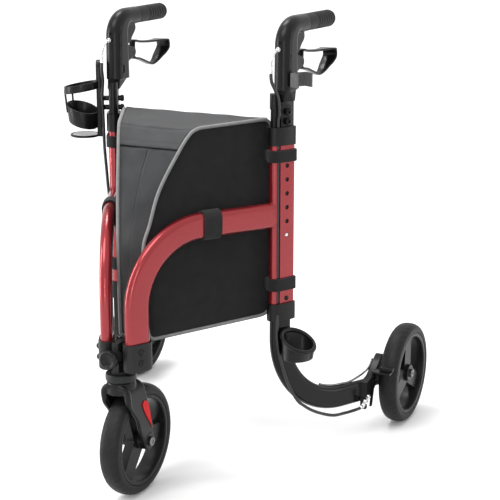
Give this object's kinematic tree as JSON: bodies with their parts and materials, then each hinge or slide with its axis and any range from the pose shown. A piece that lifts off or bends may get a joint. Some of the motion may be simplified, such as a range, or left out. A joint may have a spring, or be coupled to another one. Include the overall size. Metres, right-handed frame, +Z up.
{
  "type": "folding rollator",
  "caption": "Folding rollator without a seat: bent side frames on a caster head, telescoping handles with loop brakes, curved legs, bag, cup holder and crutch holder.",
  "frame": {"origin": "on the floor, under the middle of the part's box", "axes": "+Z up, -Y forward to the front wheel, +X to the user's left"},
  "size_m": [0.6566, 0.7319, 0.828],
  "materials": {
    "head_grey": "satin",
    "steel": "satin",
    "black_plastic": "satin",
    "red_plastic": "gloss",
    "wheel_black": "matte",
    "tyre": "matte",
    "bag_black": "matte",
    "bag_grey": "matte",
    "red_metal": "anodised satin",
    "black_metal": "satin",
    "black_cast": "satin",
    "webbing": "matte",
    "cable_black": "satin",
    "rubber": "matte"
  },
  "bodies": {
    "head": {"head_block": "head_grey", "steering_collar": "head_grey", "hinge_pin_left": "steel", "hinge_pin_right": "steel", "bag_body": "bag_black"},
    "lid": {"bag_lid": "bag_grey"},
    "knob": {"lock_knob": "black_plastic"},
    "caster": {"fork": "black_plastic", "fork_inlay_left": "red_plastic", "fork_inlay_right": "red_plastic", "front_axle": "steel"},
    "front_wheel": {"front_rim": "wheel_black", "front_tyre": "tyre"},
    "side_left": {"tube_socket_left": "head_grey", "frame_tube_left": "red_metal", "upright_left": "red_metal", "top_cap_left": "black_plastic", "lower_sleeve_left": "black_plastic", "upper_strap_left": "webbing", "lower_strap_left": "webbing", "tube_strap_left": "webbing", "leg_tube_left": "black_metal", "rear_bracket_left": "black_cast", "brake_cable_left": "cable_black", "rear_axle_left": "steel", "crutch_cup": "black_plastic"},
    "brake_left": {"brake_arm_left": "steel", "brake_pad_left": "rubber"},
    "rear_wheel_left": {"rear_rim_left": "wheel_black", "rear_tyre_left": "tyre"},
    "handle_left": {"post_left": "black_metal", "handle_housing_left": "black_plastic", "grip_left": "rubber", "cable_pipe_left": "steel", "crutch_clip": "black_plastic"},
    "button_left": {"snap_button_left": "steel"},
    "lever_left": {"brake_lever_left": "black_plastic"},
    "side_right": {"tube_socket_right": "head_grey", "frame_tube_right": "red_metal", "upright_right": "red_metal", "top_cap_right": "black_plastic", "lower_sleeve_right": "black_plastic", "upper_strap_right": "webbing", "lower_strap_right": "webbing", "tube_strap_right": "webbing", "leg_tube_right": "black_metal", "rear_bracket_right": "black_cast", "brake_cable_right": "cable_black", "rear_axle_right": "steel"},
    "brake_right": {"brake_arm_right": "steel", "brake_pad_right": "rubber"},
    "rear_wheel_right": {"rear_rim_right": "wheel_black", "rear_tyre_right": "tyre"},
    "handle_right": {"post_right": "black_metal", "handle_housing_right": "black_plastic", "grip_right": "rubber", "cable_pipe_right": "steel", "cup_holder": "black_plastic"},
    "button_right": {"snap_button_right": "steel"},
    "lever_right": {"brake_lever_right": "black_plastic"}
  },
  "joints": [
    {"name": "caster_swivel", "type": "hinge", "parent": "head", "child": "caster", "pos_m": [0, -0.3108, 0.226], "axis": [0, 0, 1], "continuous": true},
    {"name": "front_wheel_spin", "type": "hinge", "parent": "caster", "child": "front_wheel", "pos_m": [0, -0.266, 0.1], "axis": [1, 0, 0], "continuous": true},
    {"name": "lock_knob_turn", "type": "hinge", "parent": "head", "child": "knob", "pos_m": [0, -0.341, 0.2736], "axis": [0, 1, 0], "range_deg": [0, 90]},
    {"name": "bag_lid_open", "type": "hinge", "parent": "head", "child": "lid", "pos_m": [0, -0.036, 0.652], "axis": [-1, 0, 0], "range_deg": [0, 110]},
    {"name": "fold_left", "type": "hinge", "parent": "head", "child": "side_left", "pos_m": [0.009, -0.298, 0.262], "axis": [0, 0, 1], "range_deg": [0, 18], "deforming": ["bag_body", "bag_lid"]},
    {"name": "rear_wheel_spin_left", "type": "hinge", "parent": "side_left", "child": "rear_wheel_left", "pos_m": [0.30899, 0.2659, 0.1], "axis": [1, 0, 0], "continuous": true},
    {"name": "brake_arm_turn_left", "type": "hinge", "parent": "side_left", "child": "brake_left", "pos_m": [0.28399, 0.15805, 0.112], "axis": [-1, 0, 0], "range_deg": [0, 5.5]},
    {"name": "handle_height_left", "type": "slide", "parent": "side_left", "child": "handle_left", "axis": [0, 0, 1], "range_m": [0, 0.127], "deforming": ["brake_cable_left", "snap_button_left"]},
    {"name": "snap_button_press_left", "type": "slide", "parent": "handle_left", "child": "button_left", "axis": [-0.8838, 0.4679, 0], "range_m": [0, 0.0035], "stiffness_N_per_m": 600, "springref_m": -0.002},
    {"name": "brake_lever_squeeze_left", "type": "hinge", "parent": "handle_left", "child": "lever_left", "pos_m": [0.17502, 0.02821, 0.745], "axis": [0.9994, -0.0349, 0], "range_deg": [0, 12], "stiffness_Nm_per_rad": 3, "springref_deg": -8.59},
    {"name": "fold_right", "type": "hinge", "parent": "head", "child": "side_right", "pos_m": [-0.009, -0.298, 0.262], "axis": [0, 0, -1], "range_deg": [0, 18]},
    {"name": "rear_wheel_spin_right", "type": "hinge", "parent": "side_right", "child": "rear_wheel_right", "pos_m": [-0.30899, 0.2659, 0.1], "axis": [1, 0, 0], "continuous": true},
    {"name": "brake_arm_turn_right", "type": "hinge", "parent": "side_right", "child": "brake_right", "pos_m": [-0.28399, 0.15805, 0.112], "axis": [-1, 0, 0], "range_deg": [0, 5.5]},
    {"name": "handle_height_right", "type": "slide", "parent": "side_right", "child": "handle_right", "axis": [0, 0, 1], "range_m": [0, 0.127], "deforming": ["brake_cable_right", "snap_button_right"]},
    {"name": "snap_button_press_right", "type": "slide", "parent": "handle_right", "child": "button_right", "axis": [0.8838, 0.4679, 0], "range_m": [0, 0.0035], "stiffness_N_per_m": 600, "springref_m": -0.002},
    {"name": "brake_lever_squeeze_right", "type": "hinge", "parent": "handle_right", "child": "lever_right", "pos_m": [-0.17502, 0.02821, 0.745], "axis": [0.9994, 0.0349, 0], "range_deg": [0, 12], "stiffness_Nm_per_rad": 3, "springref_deg": -8.59}
  ],
  "couplings": [
    {"joint": "fold_right", "follows": "fold_left", "ratio": 1},
    {"joint": "brake_arm_turn_left", "follows": "brake_lever_squeeze_left", "ratio": 0.45},
    {"joint": "brake_arm_turn_right", "follows": "brake_lever_squeeze_right", "ratio": 0.45}
  ]
}
